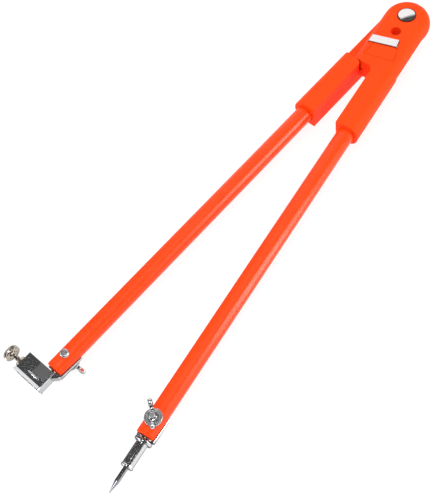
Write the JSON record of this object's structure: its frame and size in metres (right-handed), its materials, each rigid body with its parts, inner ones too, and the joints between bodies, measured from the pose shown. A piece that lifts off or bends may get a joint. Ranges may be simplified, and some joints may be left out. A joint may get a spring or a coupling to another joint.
{
  "type": "carpenter's compass",
  "caption": "Large carpenter's compass with tube legs on a half-lap moulded head, a needle in a turned ferrule on one leg and a screw clamp for a pencil on the other.",
  "frame": {"origin": "under the middle of the whole compass as it lies on its back, opened by 9.33 degrees, at the height of its lowest point", "axes": "+Y from the leg tips towards the pivot, along the line halfway between the legs; +Z out of the front of the head, along the pivot; +X to the needle leg's side"},
  "size_m": [0.1462, 0.5134, 0.0417],
  "materials": {
    "moulded_orange": "semi-gloss moulded orange-red plastic",
    "coated_tube": "orange-red coated metal tube, semi-gloss",
    "polished_steel": "bright polished steel",
    "chromed_sheet": "chrome-plated pressed sheet and turned parts",
    "nickel_plated_steel": "warm nickel plate",
    "needle_steel": "dark ground steel",
    "zinc_plated_steel": "dull zinc plate"
  },
  "bodies": {
    "needle_leg": {"needle_leg_head": "moulded_orange", "inlay_plate": "polished_steel", "pivot_rivet": "polished_steel", "pivot_rivet_cap": "polished_steel", "pivot_spacer": "zinc_plated_steel", "needle_leg_tube": "coated_tube", "needle_leg_plug": "moulded_orange", "needle_bracket": "chromed_sheet", "needle_collar": "chromed_sheet", "needle": "needle_steel", "needle_bolt": "zinc_plated_steel"},
    "pencil_leg": {"pencil_leg_head": "moulded_orange", "pencil_leg_tube": "coated_tube", "pencil_leg_plug": "moulded_orange", "pencil_bracket": "chromed_sheet", "clamp_box": "chromed_sheet", "clamp_boss": "nickel_plated_steel", "pencil_bolt": "zinc_plated_steel"},
    "needle_washer_body": {"needle_washer": "zinc_plated_steel"},
    "needle_wing_nut_body": {"needle_wing_nut": "chromed_sheet"},
    "pencil_washer_body": {"pencil_washer": "zinc_plated_steel"},
    "pencil_wing_nut_body": {"pencil_wing_nut": "chromed_sheet"},
    "clamp_pad_body": {"clamp_pad": "nickel_plated_steel"},
    "thumbscrew_body": {"thumbscrew": "nickel_plated_steel"}
  },
  "joints": [
    {"name": "pivot", "type": "hinge", "parent": "needle_leg", "child": "pencil_leg", "pos_m": [0.01709, 0.23499, 0.02159], "axis": [0, 0, -1], "range_deg": [-9.33, 170]},
    {"name": "needle_washer_slide", "type": "slide", "parent": "needle_leg", "child": "needle_washer_body", "axis": [0, 0, 1], "range_m": [0, 0.003]},
    {"name": "needle_wing_nut_spin", "type": "hinge", "parent": "needle_washer_body", "child": "needle_wing_nut_body", "pos_m": [0.06259, -0.19474, 0.02959], "axis": [0, 0, 1], "range_deg": [0, 1350]},
    {"name": "pencil_washer_slide", "type": "slide", "parent": "pencil_leg", "child": "pencil_washer_body", "axis": [0, 0, -1], "range_m": [0, 0.003]},
    {"name": "pencil_wing_nut_spin", "type": "hinge", "parent": "pencil_washer_body", "child": "pencil_wing_nut_body", "pos_m": [-0.02841, -0.19474, 0.01209], "axis": [0, 0, -1], "range_deg": [0, 1350]},
    {"name": "clamp_pad_slide", "type": "slide", "parent": "pencil_leg", "child": "clamp_pad_body", "axis": [-0.9967, 0.0813, 0], "range_m": [-0.0069, 0.0034]},
    {"name": "thumbscrew_spin", "type": "hinge", "parent": "clamp_pad_body", "child": "thumbscrew_body", "pos_m": [-0.05715, -0.21866, 0.01859], "axis": [-0.9967, 0.0813, 0], "range_deg": [-3549, 1749]}
  ],
  "couplings": [
    {"joint": "needle_wing_nut_spin", "follows": "needle_washer_slide", "rad_per_m": 7853.9},
    {"joint": "pencil_wing_nut_spin", "follows": "pencil_washer_slide", "rad_per_m": 7853.9},
    {"joint": "thumbscrew_spin", "follows": "clamp_pad_slide", "rad_per_m": 8976}
  ]
}
